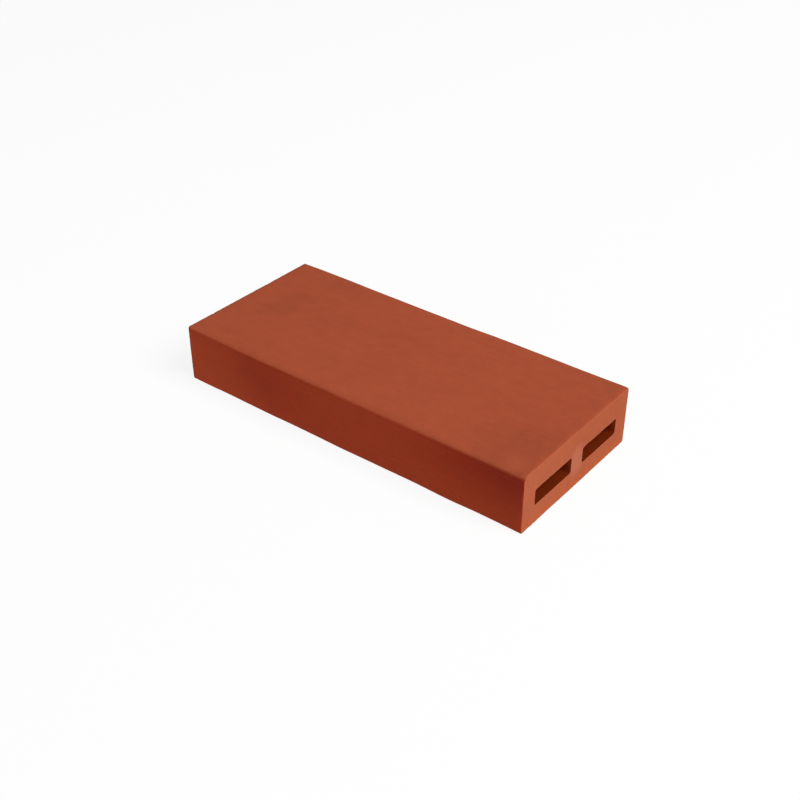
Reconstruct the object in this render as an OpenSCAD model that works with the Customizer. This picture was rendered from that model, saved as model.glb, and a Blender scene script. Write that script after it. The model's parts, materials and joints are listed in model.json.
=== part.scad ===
// Extruded hollow bar of fired clay: one body, two flat cores right through it,
// and one rounded long edge. It lies on its bed face, with its length along X.

/* [Bar] */
// Length between the two wire-cut ends
bar_length = 230; // [100:1:400]
// Width from the front face to the back face
bar_width = 100; // [80:1:200]
// Height between the two bed faces
bar_height = 35; // [30:0.5:80]

/* [Cores] */
// Number of cores side by side
core_count = 2; // [1:1:3]
// Thickness of the outer ribs and of each web between two cores
rib = 11; // [8:0.5:15]
// Height of each core
core_height = 9.5; // [6:0.5:14]
// Thickness of clay under the cores
core_floor = 11.5; // [8:0.5:13]
// Radius in the corners of each core
core_corner_r = 1; // [0.5:0.25:2]

/* [Edges] */
// Radius of the rounded front top edge
bullnose_r = 3.5; // [1:0.5:8]
// Radius that the die leaves on the other long edges
arris_r = 0.8; // [0.3:0.1:1.5]

/* [Hidden] */
// Facets of a full circle; every round stays a true arc at this value
$fn = 64;
// Overlap that keeps a cutting shape from sharing a face with what it cuts
cut_over = 1;
core_width = (bar_width - (core_count + 1) * rib) / core_count;

// What is left outside a quarter round of radius r, for a corner at the origin
// whose material lies towards +x and +y
module corner_waste(r) {
    difference() {
        translate([-cut_over, -cut_over])
            square(r + cut_over);
        translate([r, r])
            circle(r);
    }
}

// A rectangle w wide and h high, standing on the x axis and centred on it.
// radii gives its corners in turn: bottom left, bottom right, top right, top left.
module rounded_section(w, h, radii) {
    difference() {
        translate([-w / 2, 0])
            square([w, h]);
        translate([-w / 2, 0])
            corner_waste(radii[0]);
        translate([w / 2, 0])
            rotate(90)
                corner_waste(radii[1]);
        translate([w / 2, h])
            rotate(180)
                corner_waste(radii[2]);
        translate([-w / 2, h])
            rotate(270)
                corner_waste(radii[3]);
    }
}

// The die's opening: the outer outline of the clay column
module outer_section() {
    rounded_section(bar_width, bar_height, [arris_r, arris_r, arris_r, bullnose_r]);
}

// The core formers that stand in the die, spread evenly across the width
module core_sections() {
    for (i = [0 : core_count - 1])
        translate([(i - (core_count - 1) / 2) * (core_width + rib), core_floor])
            rounded_section(core_width, core_height, [for (corner = [1 : 4]) core_corner_r]);
}

// The extruded column, cut to length and fired: section x runs along Y, and
// section y runs up Z, so the rounded edge is the top of the front face
module fired_clay_bar() {
    color([0.64, 0.31, 0.21])
        rotate([90, 0, 90])
            linear_extrude(height = bar_length, center = true)
                difference() {
                    outer_section();
                    core_sections();
                }
}

fired_clay_bar();
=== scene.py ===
"""An extruded hollow bar of fired clay, lying on its lower bed face on a pale studio floor."""
import json
import math
import random

import bmesh
import bpy
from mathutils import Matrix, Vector


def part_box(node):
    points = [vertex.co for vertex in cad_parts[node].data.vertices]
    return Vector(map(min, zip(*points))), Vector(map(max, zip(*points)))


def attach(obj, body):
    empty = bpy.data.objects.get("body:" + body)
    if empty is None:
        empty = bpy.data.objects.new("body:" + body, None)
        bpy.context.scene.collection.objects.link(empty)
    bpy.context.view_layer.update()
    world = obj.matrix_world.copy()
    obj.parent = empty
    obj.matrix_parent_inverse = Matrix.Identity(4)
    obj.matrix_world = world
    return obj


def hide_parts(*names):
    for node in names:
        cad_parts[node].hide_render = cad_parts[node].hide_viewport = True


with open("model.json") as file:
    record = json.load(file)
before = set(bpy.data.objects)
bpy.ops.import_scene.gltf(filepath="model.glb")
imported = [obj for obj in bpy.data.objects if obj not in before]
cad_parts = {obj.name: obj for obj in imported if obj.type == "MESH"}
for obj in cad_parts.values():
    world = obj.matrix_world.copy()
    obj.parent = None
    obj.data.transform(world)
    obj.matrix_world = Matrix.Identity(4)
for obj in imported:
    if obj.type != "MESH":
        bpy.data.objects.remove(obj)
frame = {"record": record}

NODE = "fired_clay_bar"
MM = 0.001
SEED = 11

# Rounds that the die gives the column, as on the CAD part
BULLNOSE_RADIUS = 3.5 * MM
ARRIS_RADIUS = 0.8 * MM
CORE_CORNER_RADIUS = 1.0 * MM
# Softening of the rims that the cutting wire leaves
RIM_RADIUS = 0.3 * MM
# The bullnose tightens towards the left end, to this share of its radius
NOSE_TAPER = 50 * MM
LEFT_NOSE_SHARE = 0.35
# How far the record's opening boxes stay clear of the core walls
CORE_CLEARANCE = 0.4 * MM

# Spacing of the mesh: across the section, along the skin and along the cores
SECTION_PITCH = 0.7 * MM
SKIN_PITCH = 1.5 * MM
CORE_PITCH = 6.0 * MM

# The camera stands round from the front face towards the right end, angles in degrees
CAMERA_AZIMUTH = 38.2
CAMERA_ELEVATION = 33.8
CAMERA_DISTANCE = 686 * MM
CAMERA_AIM_HEIGHT = 5.8 * MM
CAMERA_LENS = 54.7

# Colours of the clay, as linear red, green and blue
BED_CLAY = (0.412, 0.082, 0.0345, 1)
# Painted shade: the long sides are darker and redder than the beds
SHADED_SIDE_CLAY = (0.38, 0.0458, 0.010, 1)
# Painted shade towards the upper right of the long sides, and deeper red clouds in the painted shade of
# the cores
PAINTED_SHADE_RED = (0.262, 0.0165, 0.0022, 1)
CUT_CLAY = (0.341, 0.0762, 0.0296, 1)
WEB_BLOOM = (0.385, 0.112, 0.058, 1)
FOOT_CLAY = (0.385, 0.076, 0.0225, 1)
# Painted shade: the walls inside the cores are painted dark red-brown
CORE_PAINTED_SHADE = (0.13, 0.0145, 0.0018, 1)
PALE_GROG = (0.52, 0.20, 0.11, 1)
IRON_SPOT = (0.12, 0.020, 0.010, 1)
WORN_CLAY = (0.47, 0.115, 0.050, 1)

# Specular levels of the matte clay, and of the dull walls inside the cores
CLAY_GLOSS = 0.12
CORE_GLOSS = 0.03

# How far rubbed wear, the wander of a long edge and a wire burr reach from their edge
WEAR_REACH = 3 * MM
ARRIS_REACH = 9 * MM
BURR_REACH = 0.9 * MM
# The torn clay of an end is this deep, and the drag of the die fades out this far before an end
END_DEPTH = 0.5 * MM
SKIN_MARGIN = 3 * MM

# Relief of the surface: name, detail, size of its features along x, y and z in mm,
# depth in mm, vertex group and the level of the pattern that stays in place
RELIEFS = (
    ("kiln_warp", 1, (45, 45, 45), 0.35, "", 0.5),
    ("arris_wander", 1, (40, 90, 90), 0.9, "arrises", 0.5),
    ("die_drag", 2, (90, 3, 3), 0.10, "skin", 0.5),
    ("wire_ripple", 1, (4, 2.2, 30), 0.16, "ends", 0.5),
    ("torn_grain", 3, (1.8, 1.8, 1.8), 0.16, "ends", 0.5),
    ("wire_burr", 3, (2.5, 2.5, 2.5), 0.20, "burrs", 0.4),
)

# Darker flashes on the upper bed: x, y and radius in mm, and strength
FLASHES = ((-76, 38, 22, 0.5), (-86, 5, 20, 0.7), (-56, 7, 24, 0.5), (99, -34, 30, 0.8))
# The kiln supports stood this far from the middle of the underside
SUPPORT_PLACE = 62 * MM

# The floor of white paper, which glows a little so that it stays pale
FLOOR_RADIUS = 14
FLOOR_GAP = 0.1 * MM
PAPER_GREY = (0.12, 0.12, 0.12, 1)
PAPER_GLOW = 0.88

# The air is white up to the first height and dim from the second, as the sine of the elevation
AIR_BAND = (0.08, 0.22)
CEILING_DIMMING = 0.88

# The one soft lamp, over the right end: angles in degrees, then metres and watts
KEY_AZIMUTH = 94
KEY_ELEVATION = 47
KEY_DISTANCE = 3.5
KEY_WIDTH = 2.2
KEY_WATTS = 138

# Edges flatter than this angle, in degrees, are shaded smooth
SMOOTH_ANGLE = 35

LENGTHWISE, ACROSS, UP = 0, 1, 2
PLACE_ERROR = 0.01 * MM

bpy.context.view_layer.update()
low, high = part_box(NODE)
size = high - low
middle = (low + high) / 2
dice = random.Random(SEED)


# ---- picking parts of a mesh by their place

def near(a, b):
    return abs(a - b) < PLACE_ERROR


def mid_edge(edge):
    return (edge.verts[0].co + edge.verts[1].co) / 2


def is_long(edge):
    """True for an edge that runs along the bar for most of its length."""
    step = edge.verts[1].co - edge.verts[0].co
    return abs(step.x) > size.x / 2 and abs(step.x) > 0.999 * step.length


def on_end(point):
    return near(abs(point.x - middle.x), size.x / 2)


def is_end_face(face):
    return abs(face.normal.x) > 0.99 and on_end(face.calc_center_median())


def is_end_rim(edge):
    """True on the outline of an end and round the mouths of its cores."""
    if not all(on_end(vert.co) for vert in edge.verts):
        return False
    return sum(is_end_face(face) for face in edge.link_faces) == 1


def pick(kind, test):
    """Selects only those verts, edges or faces of the edited mesh that pass the test."""
    bpy.ops.mesh.select_mode(type={"verts": "VERT", "edges": "EDGE", "faces": "FACE"}[kind])
    bpy.ops.mesh.select_all(action="DESELECT")
    mesh = bpy.context.edit_object.data
    shape = bmesh.from_edit_mesh(mesh)
    for part in getattr(shape, kind):
        if test(part):
            part.select_set(True)
    shape.select_flush_mode()
    bmesh.update_edit_mesh(mesh)


def cut(axis, place):
    """Cuts the selected faces with a plane square to that axis."""
    point, normal = Vector(), Vector()
    point[axis], normal[axis] = place, 1
    bpy.ops.mesh.bisect(plane_co=point, plane_no=normal, threshold=PLACE_ERROR / 10)


# ---- the extruded column and its ends

def core_sections():
    """The (y range, z range) of each core, from the record's openings."""
    sections = []
    for opening in frame["record"]["physics"]["openings"]:
        start, end = opening["box_m"]
        across = start[1] - CORE_CLEARANCE, end[1] + CORE_CLEARANCE
        up = start[2] - CORE_CLEARANCE, end[2] + CORE_CLEARANCE
        sections.append((across, up))
    return sections


CORES = core_sections()


def in_core(point, margin=PLACE_ERROR):
    """True inside a core and on its walls."""
    return any(
        y0 - margin <= point.y <= y1 + margin and z0 - margin <= point.z <= z1 + margin
        for (y0, y1), (z0, z1) in CORES
    )


def push_cores_through():
    """Marks out each core on both ends, and opens it from end to end."""
    for across, up in CORES:
        for axis, places in ((ACROSS, across), (UP, up)):
            for place in places:
                bpy.ops.mesh.select_all(action="SELECT")
                cut(axis, place)
    for (y0, y1), (z0, z1) in CORES:
        def is_mouth(face):
            spot = face.calc_center_median()
            return is_end_face(face) and y0 < spot.y < y1 and z0 < spot.z < z1
        pick("faces", is_mouth)
        bpy.ops.mesh.bridge_edge_loops()


def round_long_edges():
    """The rounds of the die: the bullnose, the other arrises and the corners of the cores."""
    core_corners = [(y, z) for ys, zs in CORES for y in ys for z in zs]
    arrises = [(y, z) for y in (low.y, high.y) for z in (low.z, high.z)]
    bullnose = (low.y, high.z)
    arrises.remove(bullnose)
    rounds = (
        ([bullnose], BULLNOSE_RADIUS, 12),
        (arrises, ARRIS_RADIUS, 3),
        (core_corners, CORE_CORNER_RADIUS, 3),
    )
    for places, radius, segments in rounds:
        def is_here(edge):
            spot = mid_edge(edge)
            return is_long(edge) and any(near(spot.y, y) and near(spot.z, z) for y, z in places)
        pick("edges", is_here)
        bpy.ops.mesh.bevel(offset=radius, segments=segments, affect="EDGES")


def grid_places(marks):
    """The marks, with even divisions between each two of them."""
    places = []
    for start, end in zip(marks, marks[1:]):
        count = max(1, round((end - start) / SECTION_PITCH))
        places += [start + (end - start) * i / count for i in range(count)]
    return places[1:]


def divide_section():
    """Cuts a fine grid across the section, in step with the rounds and the cores."""
    across = {low.y, high.y, low.y + BULLNOSE_RADIUS, high.y - ARRIS_RADIUS}
    up = {low.z, high.z, high.z - BULLNOSE_RADIUS, low.z + ARRIS_RADIUS}
    for ys, zs in CORES:
        for edge, inwards in zip(ys + zs, (1, -1, 1, -1)):
            marks = across if edge in ys else up
            marks.update((edge, edge + inwards * CORE_CORNER_RADIUS))

    def off_bullnose(face):
        spot = face.calc_center_median()
        in_corner = spot.y < low.y + BULLNOSE_RADIUS and spot.z > high.z - BULLNOSE_RADIUS
        return is_end_face(face) or not in_corner

    for axis, marks in ((ACROSS, across), (UP, up)):
        for place in grid_places(sorted(marks)):
            pick("faces", off_bullnose)
            cut(axis, place)


def divide_length():
    """Gives the skin a fine spacing along the bar, and the walls of the cores a coarse one."""
    pick("edges", lambda edge: is_long(edge) and not in_core(mid_edge(edge)))
    bpy.ops.mesh.subdivide(number_cuts=round(size.x / SKIN_PITCH))
    pick("edges", lambda edge: is_long(edge) and in_core(mid_edge(edge)))
    bpy.ops.mesh.subdivide(number_cuts=round(size.x / CORE_PITCH))


def tighten_left_nose():
    """Draws the bullnose in towards its corner, ring by ring, over the last stretch to the left end."""
    reach = BULLNOSE_RADIUS + PLACE_ERROR

    def on_nose(point):
        in_corner = point.y < low.y + reach and point.z > high.z - reach
        return in_corner and point.x < low.x + NOSE_TAPER

    shape = bmesh.from_edit_mesh(bpy.context.edit_object.data)
    rings = {round(vert.co.x, 6) for vert in shape.verts if on_nose(vert.co)}
    for ring in sorted(rings):
        from_end = (ring - low.x) / NOSE_TAPER
        share = LEFT_NOSE_SHARE + (1 - LEFT_NOSE_SHARE) * from_end
        pick("verts", lambda vert: near(vert.co.x, ring) and on_nose(vert.co))
        bpy.ops.transform.resize(value=(1, share, share), center_override=(ring, low.y, high.z))


def extruded_bar():
    bpy.ops.object.select_all(action="DESELECT")
    bpy.ops.mesh.primitive_cube_add(size=1, location=middle, scale=size)
    bar = bpy.context.object
    bar.name = "clay_bar"
    bpy.ops.object.transform_apply(location=True, rotation=True, scale=True)
    bpy.ops.object.mode_set(mode="EDIT")
    push_cores_through()
    round_long_edges()
    pick("edges", is_end_rim)
    bpy.ops.mesh.bevel(offset=RIM_RADIUS, segments=2, affect="EDGES")
    divide_section()
    divide_length()
    tighten_left_nose()
    bpy.ops.object.mode_set(mode="OBJECT")
    return bar


# ---- wear and relief

def clamped(value):
    return min(1.0, max(0.0, value))


def from_faces(point):
    """How far a point lies inside the bar from its ends, its sides and its beds."""
    return [size[i] / 2 - abs(point[i] - middle[i]) for i in range(3)]


def from_mouth(point):
    """How far a point on the section lies from the nearest outline of a core."""
    gaps = []
    for (y0, y1), (z0, z1) in CORES:
        aside = abs(point.y - (y0 + y1) / 2) - (y1 - y0) / 2
        above = abs(point.z - (z0 + z1) / 2) - (z1 - z0) / 2
        outside = math.hypot(max(aside, 0), max(above, 0))
        gaps.append(outside if outside > 0 else -max(aside, above))
    return min(gaps)


def rim_distance(point):
    """How far a point of the surface lies from the nearest edge between two faces."""
    from_end, from_side, from_bed = from_faces(point)
    to_arris = max(from_side, from_bed)
    to_end_rim = max(from_end, min(from_side, from_bed))
    to_mouth_rim = max(from_end, from_mouth(point))
    return min(to_arris, to_end_rim, to_mouth_rim)


def skin_weight(point):
    """1 on the long outer faces and 0 on the ends and in the cores."""
    from_end, from_side, from_bed = from_faces(point)
    outside = min(from_side, from_bed) < BULLNOSE_RADIUS
    return clamped(from_end / SKIN_MARGIN) if outside else 0.0


def arris_weight(point):
    """1 on the long edges, and 0 out of reach of them."""
    from_side, from_bed = from_faces(point)[1:]
    return clamped(1 - max(from_side, from_bed) / ARRIS_REACH) * skin_weight(point)


def end_weight(point):
    """1 on the two wire-cut ends, and 0 from a small depth on."""
    return clamped(1 - from_faces(point)[0] / END_DEPTH)


def burr_weight(point):
    """1 where the wire left the clay: the lower rims of the ends and of the core mouths."""
    below_mouths = [
        clamped(1 - abs(point.z - z0) / BURR_REACH) * (y0 < point.y < y1)
        for (y0, y1), (z0, z1) in CORES
    ]
    below_end = clamped(1 - (point.z - low.z) / BURR_REACH)
    return end_weight(point) * max(below_end, *below_mouths)


def weigh(bar, name, weight_of):
    group = bar.vertex_groups.new(name=name)
    for vert in bar.data.vertices:
        weight = weight_of(vert.co)
        if weight > 0:
            group.add([vert.index], weight, "REPLACE")


def cloud_pattern(name, depth):
    pattern = bpy.data.textures.new(name, "CLOUDS")
    pattern.noise_scale = 1.0
    pattern.noise_depth = depth
    return pattern


def press_relief(bar, name, detail, grain, depth, group, mid_level):
    """Moves the surface in and out by a cloudy pattern with features of the size grain."""
    bpy.ops.object.empty_add(location=[dice.uniform(-1, 1) for _ in range(3)])
    ruler = bpy.context.object
    ruler.scale = [length * MM for length in grain]
    relief = bar.modifiers.new(name, "DISPLACE")
    relief.texture = cloud_pattern(name, detail)
    relief.texture_coords = "OBJECT"
    relief.texture_coords_object = ruler
    relief.mid_level = mid_level
    relief.strength = depth * MM
    relief.vertex_group = group
    bpy.context.view_layer.objects.active = bar
    bpy.ops.object.modifier_apply(modifier=relief.name)
    bpy.data.objects.remove(ruler)


def on_skin(axis, side, inset):
    """A random place on one outer face, at least inset from its edges, and the way into the clay."""
    place = Vector([dice.uniform(low[i] + inset, high[i] - inset) for i in range(3)])
    place[axis] = (low, high)[side][axis]
    inwards = Vector()
    inwards[axis] = (1, -1)[side]
    return place, inwards


def on_edge(sides):
    """A random place on the edge where two outer faces meet, and the way into the clay."""
    place = Vector([dice.uniform(low[i], high[i]) for i in range(3)])
    inwards = Vector()
    for axis, side in sides:
        place[axis] = (low, high)[side][axis]
        inwards[axis] = (1, -1)[side]
    return place, inwards.normalized()


def pits():
    """(place, way in, radius, depth) of the pits that burnt-out grit left in the outer faces."""
    # Axis and side of each face, how many pits it has and the largest radius in mm
    per_face = (
        (UP, 1, 5, 0.8), (UP, 0, 9, 1.4), (ACROSS, 0, 4, 0.8),
        (ACROSS, 1, 5, 1.3), (LENGTHWISE, 0, 3, 0.9), (LENGTHWISE, 1, 2, 0.7),
    )
    found = []
    for axis, side, count, largest in per_face:
        for _ in range(count):
            place, inwards = on_skin(axis, side, 4 * MM)
            radius = dice.uniform(0.5, largest) * MM
            found.append((place, inwards, radius, radius * dice.uniform(0.25, 0.4)))
    return found


def chips():
    """(place, way in, radius, depth) of the small knocks along the edges."""
    # The two faces of each edge, how many chips it has and the largest radius in mm
    per_edge = (
        (((ACROSS, 0), (UP, 0)), 2, 0.7), (((ACROSS, 1), (UP, 1)), 3, 0.7),
        (((ACROSS, 1), (UP, 0)), 4, 1.5), (((LENGTHWISE, 1), (UP, 1)), 3, 0.8),
        (((LENGTHWISE, 1), (UP, 0)), 1, 0.6), (((LENGTHWISE, 1), (ACROSS, 1)), 1, 0.8),
        (((LENGTHWISE, 0), (UP, 1)), 2, 0.8), (((LENGTHWISE, 0), (UP, 0)), 4, 1.4),
        (((LENGTHWISE, 0), (ACROSS, 1)), 2, 1.2),
    )
    found = []
    for sides, count, largest in per_edge:
        for _ in range(count):
            place, inwards = on_edge(sides)
            radius = dice.uniform(0.5, largest) * MM
            found.append((place, inwards, radius, radius * dice.uniform(0.2, 0.32)))
    return found


def knock(bar):
    """Presses the pits and the chips into the clay."""
    dents = pits() + chips()

    def is_by_dent(face):
        spot = face.calc_center_median()
        return any((spot - dent[0]).length < 1.2 * dent[2] + 0.5 * MM for dent in dents)

    bpy.context.view_layer.objects.active = bar
    bpy.ops.object.mode_set(mode="EDIT")
    for _ in range(2):
        pick("faces", is_by_dent)
        bpy.ops.mesh.subdivide(number_cuts=1)
    pick("faces", lambda face: len(face.verts) > 4)
    bpy.ops.mesh.quads_convert_to_tris(quad_method="BEAUTY", ngon_method="BEAUTY")
    for place, inwards, radius, depth in dents:
        pick("verts", lambda vert: (vert.co - place).length < 0.35 * radius + 0.15 * MM)
        bpy.ops.transform.translate(
            value=depth * inwards, use_proportional_edit=True,
            proportional_edit_falloff="SMOOTH", proportional_size=radius,
        )
    bpy.ops.object.mode_set(mode="OBJECT")


def mark_rims(bar):
    """Keeps on the mesh how close each vertex is to an edge: 1 on it, and 0 out of reach."""
    wear = bar.data.attributes.new("rim", "FLOAT", "POINT")
    for vert in bar.data.vertices:
        wear.data[vert.index].value = clamped(1 - rim_distance(vert.co) / WEAR_REACH)


def weather(bar):
    """Ages the new bar: knocks first, then the relief of its whole surface."""
    knock(bar)
    mark_rims(bar)
    weigh(bar, "skin", skin_weight)
    weigh(bar, "arrises", arris_weight)
    weigh(bar, "ends", end_weight)
    weigh(bar, "burrs", burr_weight)
    for relief in RELIEFS:
        press_relief(bar, *relief)


# ---- finishes of the fired clay

class Shade:
    """A number worked out by a finish's nodes. Python operators on it add Math nodes."""

    def __init__(self, finish, socket):
        self.finish = finish
        self.socket = socket

    def maths(self, operation, first, second):
        return self.finish.add("ShaderNodeMath", {"operation": operation}, {0: first, 1: second})

    def __add__(self, other):
        return self.maths("ADD", self, other)

    def __radd__(self, other):
        return self.maths("ADD", other, self)

    def __sub__(self, other):
        return self.maths("SUBTRACT", self, other)

    def __rsub__(self, other):
        return self.maths("SUBTRACT", other, self)

    def __mul__(self, other):
        return self.maths("MULTIPLY", self, other)

    def __rmul__(self, other):
        return self.maths("MULTIPLY", other, self)

    def __abs__(self):
        return self.maths("ABSOLUTE", self, 0)

    def other_output(self, name):
        """Another output of the same node."""
        return Shade(self.finish, self.socket.node.outputs[name])


class Finish:
    """The nodes of one finish, in a material or in the world."""

    def __init__(self, owner, coordinates="Object"):
        owner.use_nodes = True
        self.owner = owner
        self.tree = owner.node_tree
        self.place = self.add("ShaderNodeTexCoord", output=coordinates)

    def add(self, kind, settings=None, inputs=None, output=0):
        """Adds a node: its settings first, then the values or links of its sockets."""
        node = self.tree.nodes.new(kind)
        for name, value in (settings or {}).items():
            setattr(node, name, value)
        for name, value in (inputs or {}).items():
            self.feed(node.inputs[name], value)
        return Shade(self, node.outputs[output])

    def feed(self, socket, value):
        if isinstance(value, Shade):
            self.tree.links.new(value.socket, socket)
        else:
            socket.default_value = value

    def part(self, vector, axis):
        """One of the three numbers of a vector."""
        return self.add("ShaderNodeSeparateXYZ", None, {0: vector}, axis)

    def stretched(self, scale):
        return self.add("ShaderNodeMapping", None, {"Vector": self.place, "Scale": scale})

    def clouds(self, feature, detail=2.0, stretch=None):
        """Cloudy noise from -0.5 to 0.5, with features of about that size."""
        place = self.stretched(stretch) if stretch else self.place
        sockets = {"Vector": place, "Scale": 1 / feature, "Detail": detail, "Roughness": 0.55}
        return self.add("ShaderNodeTexNoise", None, sockets) - 0.5

    def rise(self, value, start, end):
        """0 up to start and 1 from end on, smooth between them."""
        sockets = {"Value": value, "From Min": start, "From Max": end}
        return self.add("ShaderNodeMapRange", {"interpolation_type": "SMOOTHSTEP"}, sockets)

    def patch(self, centre, radius, wander):
        """1 in the middle of a soft patch round that place, and 0 outside it."""
        points = {0: self.place, 1: centre}
        gap = self.add("ShaderNodeVectorMath", {"operation": "DISTANCE"}, points, "Value")
        return self.rise(gap + wander, radius, 0.2 * radius)

    def specks(self, spacing, share, radius):
        """1 on round specks in that share of cells of that spacing, and 0 off them."""
        cells = self.add("ShaderNodeTexVoronoi", None, {"Vector": self.place, "Scale": 1 / spacing})
        lot = self.add("ShaderNodeSeparateColor", None, {0: cells.other_output("Color")})
        chosen = self.rise(lot, share, share * 0.8)
        return chosen * self.rise(cells, radius / spacing, 0.6 * radius / spacing)

    def blend(self, share, first, second):
        """From the first colour to the second."""
        return self.add("ShaderNodeMix", {"data_type": "RGBA"}, {0: share, 6: first, 7: second}, 2)

    def brightened(self, colour, factor):
        return self.add("ShaderNodeVectorMath", {"operation": "SCALE"}, {0: colour, 3: factor})

    def worn_rims(self, colour, cloud, start, strength):
        """Rubs the colour paler along the edges."""
        rim = self.add("ShaderNodeAttribute", {"attribute_name": "rim"}, output="Fac")
        return self.blend(self.rise(rim + cloud * 0.5, start, 1.1) * strength, colour, WORN_CLAY)

    def finish_with(self, colour, roughness, height, gloss):
        """Joins everything to the shader. height is in metres."""
        shader = self.tree.nodes["Principled BSDF"]
        bump = self.add("ShaderNodeBump", None, {"Height": height, "Distance": 1.0, "Strength": 1.0})
        self.feed(shader.inputs["Base Color"], colour)
        self.feed(shader.inputs["Roughness"], roughness)
        self.feed(shader.inputs["Normal"], bump)
        shader.inputs["Specular IOR Level"].default_value = gloss
        return self.owner


def with_grog(clay, colour, strength):
    """Pale crushed grog and dark iron spots that show at the surface."""
    pale = clay.specks(1.9 * MM, 0.35, 0.32 * MM)
    dark = clay.specks(3.1 * MM, 0.30, 0.28 * MM)
    colour = clay.blend(pale * (0.45 * strength), colour, PALE_GROG)
    return clay.blend(dark * (0.6 * strength), colour, IRON_SPOT), pale, dark


def shaded_side_colour(clay, x, z, mottle):
    """The long sides, painted darker and redder than the beds as painted shade, and darker still
    towards the top of the right end and in a patch under the bullnose, as more painted shade.
    """
    along = clay.rise(x + z * 1.5 + mottle * (50 * MM), -95 * MM, -30 * MM)
    corner = clay.rise(x + mottle * (60 * MM), 20 * MM, 112 * MM) * clay.rise(z, 2 * MM, 30 * MM)
    patch = clay.patch((-50 * MM, low.y, 29 * MM), 38 * MM, mottle * (24 * MM))
    return clay.blend(along * 0.33 + corner * 0.65 + patch * 0.30, SHADED_SIDE_CLAY, PAINTED_SHADE_RED)


def bed_flashing(clay, x, mottle):
    """Faint darker flashes on the beds, and the darker zone at their right end."""
    wander = mottle * (30 * MM)
    darkness = clay.rise(x + wander, 55 * MM, 112 * MM) * 0.5
    for along, across, radius, strength in FLASHES:
        centre = (along * MM, across * MM, high.z)
        darkness = darkness + clay.patch(centre, radius * MM, wander) * strength
    return darkness


def kiln_kisses(clay, x, z, mottle):
    """The two darker bands across the underside, where the bar stood on the kiln's supports."""
    from_support = abs(abs(x) - SUPPORT_PLACE) + mottle * (10 * MM)
    return clay.rise(from_support, 9 * MM, 5 * MM) * clay.rise(z, 3 * MM, 1 * MM)


def die_skin():
    """The long faces, smoothed and drawn lengthwise by the die."""
    clay = Finish(bpy.data.materials.new("die_skin_clay"))
    x = clay.part(clay.place, LENGTHWISE)
    z = clay.part(clay.place, UP)
    upright = clay.part(clay.add("ShaderNodeNewGeometry", output="Normal"), UP)
    side = 1 - clay.rise(upright * upright, 0.02, 0.5)
    mottle = clay.clouds(28 * MM, 3)
    cloud = clay.clouds(7 * MM, 4)
    grain = clay.clouds(0.5 * MM, 3)
    drag = clay.clouds(1.1 * MM, 3, stretch=(0.02, 1, 1))
    # Painted shade: the long sides get a darker, redder colour than the beds
    colour = clay.blend(side, BED_CLAY, shaded_side_colour(clay, x, z, mottle))
    kisses = kiln_kisses(clay, x, z, mottle) * (1 - side)
    shade = 1 - bed_flashing(clay, x, mottle) * 0.09 - kisses * 0.08
    shade = shade + mottle * 0.14 + cloud * 0.16 + grain * 0.26 + drag * 0.16
    colour = clay.brightened(colour, shade)
    colour, pale, dark = with_grog(clay, colour, 0.45)
    rub = clay.patch((105 * MM, -43 * MM, high.z), 9 * MM, cloud * (12 * MM))
    colour = clay.blend(rub * 0.25, colour, WORN_CLAY)
    colour = clay.worn_rims(colour, cloud, 0.75, 0.45)
    roughness = 0.8 + cloud * 0.15 + grain * 0.15
    height = grain * (0.11 * MM) + drag * (0.10 * MM) + pale * (0.02 * MM) - dark * (0.06 * MM)
    return clay.finish_with(colour, roughness, height, CLAY_GLOSS)


def wire_cut_end():
    """The two ends, torn upright by the cutting wire."""
    clay = Finish(bpy.data.materials.new("wire_cut_clay"))
    y = clay.part(clay.place, ACROSS)
    z = clay.part(clay.place, UP)
    mottle = clay.clouds(12 * MM, 3)
    cloud = clay.clouds(3 * MM, 4)
    grain = clay.clouds(0.45 * MM, 4)
    drag = clay.clouds(0.9 * MM, 3, stretch=(1, 1, 0.08))
    above_mid = z - CORES[0][1][0] - 5 * MM
    web = y * y * 1.4 + above_mid * above_mid * 0.9 + (mottle + cloud) * (70 * MM * MM)
    web = clay.rise(web, (11 * MM) ** 2, (2 * MM) ** 2)
    foot = clay.rise(z + mottle * (8 * MM), 9 * MM, 1 * MM)
    fore = clay.rise(y + mottle * (20 * MM), 15 * MM, -40 * MM)
    colour = clay.blend(web * 0.8 + fore * 0.12, CUT_CLAY, WEB_BLOOM)
    colour = clay.blend(foot * 0.8, colour, FOOT_CLAY)
    shade = 1 + fore * 0.04 + mottle * 0.12 + cloud * 0.16 + grain * 0.26 + drag * 0.16
    colour = clay.brightened(colour, shade)
    colour, pale, dark = with_grog(clay, colour, 0.7)
    colour = clay.worn_rims(colour, cloud, 0.7, 0.4)
    roughness = 0.88 + cloud * 0.1
    height = grain * (0.18 * MM) + drag * (0.12 * MM) + pale * (0.03 * MM) - dark * (0.08 * MM)
    return clay.finish_with(colour, roughness, height, CLAY_GLOSS)


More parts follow.
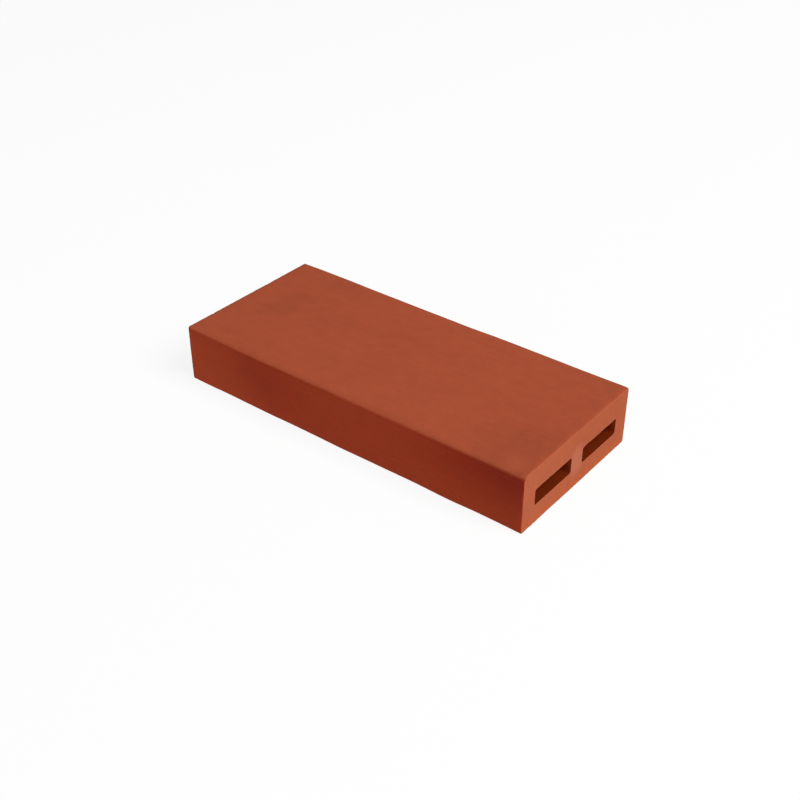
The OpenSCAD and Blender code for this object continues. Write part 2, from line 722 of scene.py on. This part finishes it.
def core_wall():
    """The walls of the cores, drawn lengthwise by the core bridges, painted dark as painted shade, with
    their upright walls painted lighter as painted light.
    """
    clay = Finish(bpy.data.materials.new("core_wall_clay"))
    cloud = clay.clouds(5 * MM, 4)
    grain = clay.clouds(0.5 * MM, 3)
    drag = clay.clouds(1.0 * MM, 3, stretch=(0.02, 1, 1))
    upright = clay.part(clay.add("ShaderNodeNewGeometry", output="Normal"), UP)
    side = 1 - clay.rise(upright * upright, 0.1, 0.9)
    # Painted shade: dark red-brown inside the cores, in clouds
    colour = clay.blend(clay.rise(cloud, 0.1, 0.4) * 0.4, CORE_PAINTED_SHADE, PAINTED_SHADE_RED)
    # Painted light: the upright walls of the cores are painted much lighter than their floors and
    # ceilings
    shade = 0.92 + side * 0.75 + cloud * 0.2 + grain * 0.15 + drag * 0.2
    colour = clay.brightened(colour, shade)
    roughness = 0.9 + cloud * 0.1
    height = grain * (0.06 * MM) + drag * (0.08 * MM)
    return clay.finish_with(colour, roughness, height, CORE_GLOSS)


def assign_finishes(bar):
    """Gives each face its finish by its place, while the faces are still flat and true."""
    for finish in (die_skin(), wire_cut_end(), core_wall()):
        bar.data.materials.append(finish)

    def is_cut(face):
        return abs(face.normal.x) > 0.5

    def is_core(face):
        return abs(face.normal.x) <= 0.5 and in_core(face.calc_center_median(), RIM_RADIUS)

    bpy.context.view_layer.objects.active = bar
    bpy.ops.object.mode_set(mode="EDIT")
    for slot, test in ((1, is_cut), (2, is_core)):
        pick("faces", test)
        bar.active_material_index = slot
        bpy.ops.object.material_slot_assign()
    bpy.ops.object.mode_set(mode="OBJECT")


# ---- the studio

def studio_floor():
    bpy.ops.object.select_all(action="DESELECT")
    bpy.ops.mesh.primitive_circle_add(
        vertices=96, radius=FLOOR_RADIUS, fill_type="NGON",
        location=(middle.x, middle.y, low.z - FLOOR_GAP),
    )
    floor = bpy.context.object
    floor.name = "studio_floor"
    paper = bpy.data.materials.new("white_paper")
    paper.use_nodes = True
    shader = paper.node_tree.nodes["Principled BSDF"]
    shader.inputs["Base Color"].default_value = PAPER_GREY
    shader.inputs["Emission Color"].default_value = (1, 1, 1, 1)
    shader.inputs["Emission Strength"].default_value = PAPER_GLOW
    shader.inputs["Roughness"].default_value = 1.0
    shader.inputs["Specular IOR Level"].default_value = 0.0
    floor.data.materials.append(paper)


def towards(azimuth, elevation):
    """Unit vector from the bar to a place round it; azimuth 0 is its front and 90 its right end."""
    turn, rise = math.radians(azimuth), math.radians(elevation)
    level = math.cos(rise)
    return Vector((math.sin(turn) * level, -math.cos(turn) * level, math.sin(rise)))


def soft_light(name, azimuth, elevation, distance, width, watts):
    lamp = bpy.data.lights.new(name, "AREA")
    lamp.shape = "DISK"
    lamp.size = width
    lamp.energy = watts
    holder = bpy.data.objects.new(name, lamp)
    seen_from = towards(azimuth, elevation)
    holder.location = middle + distance * seen_from
    holder.rotation_euler = seen_from.to_track_quat("Z", "Y").to_euler()
    bpy.context.scene.collection.objects.link(holder)


def studio_air():
    """A pale band round the horizon, and a dimmer ceiling above it."""
    world = bpy.data.worlds.new("studio_air")
    air = Finish(world, "Generated")
    height = air.part(air.place, UP)
    background = air.tree.nodes["Background"]
    air.feed(background.inputs["Color"], (1, 1, 1, 1))
    air.feed(background.inputs["Strength"], 1 - air.rise(height, *AIR_BAND) * CEILING_DIMMING)
    bpy.context.scene.world = world


def studio_light():
    studio_air()
    soft_light("key_light", KEY_AZIMUTH, KEY_ELEVATION, KEY_DISTANCE, KEY_WIDTH, KEY_WATTS)
    bpy.context.scene.view_settings.view_transform = "Standard"


def camera():
    seen_from = towards(CAMERA_AZIMUTH, CAMERA_ELEVATION)
    aim = Vector((middle.x, middle.y, low.z + CAMERA_AIM_HEIGHT))
    lens = bpy.data.cameras.new("camera")
    lens.lens = CAMERA_LENS
    holder = bpy.data.objects.new("camera", lens)
    holder.location = aim + CAMERA_DISTANCE * seen_from
    holder.rotation_euler = seen_from.to_track_quat("Z", "Y").to_euler()
    bpy.context.scene.collection.objects.link(holder)
    bpy.context.scene.camera = holder


def main():
    camera()
    studio_floor()
    studio_light()
    bar = extruded_bar()
    assign_finishes(bar)
    weather(bar)
    bpy.ops.object.select_all(action="DESELECT")
    bar.select_set(True)
    bpy.context.view_layer.objects.active = bar
    bpy.ops.object.shade_smooth_by_angle(angle=math.radians(SMOOTH_ANGLE))
    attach(bar, "root")
    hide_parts(NODE)


main()
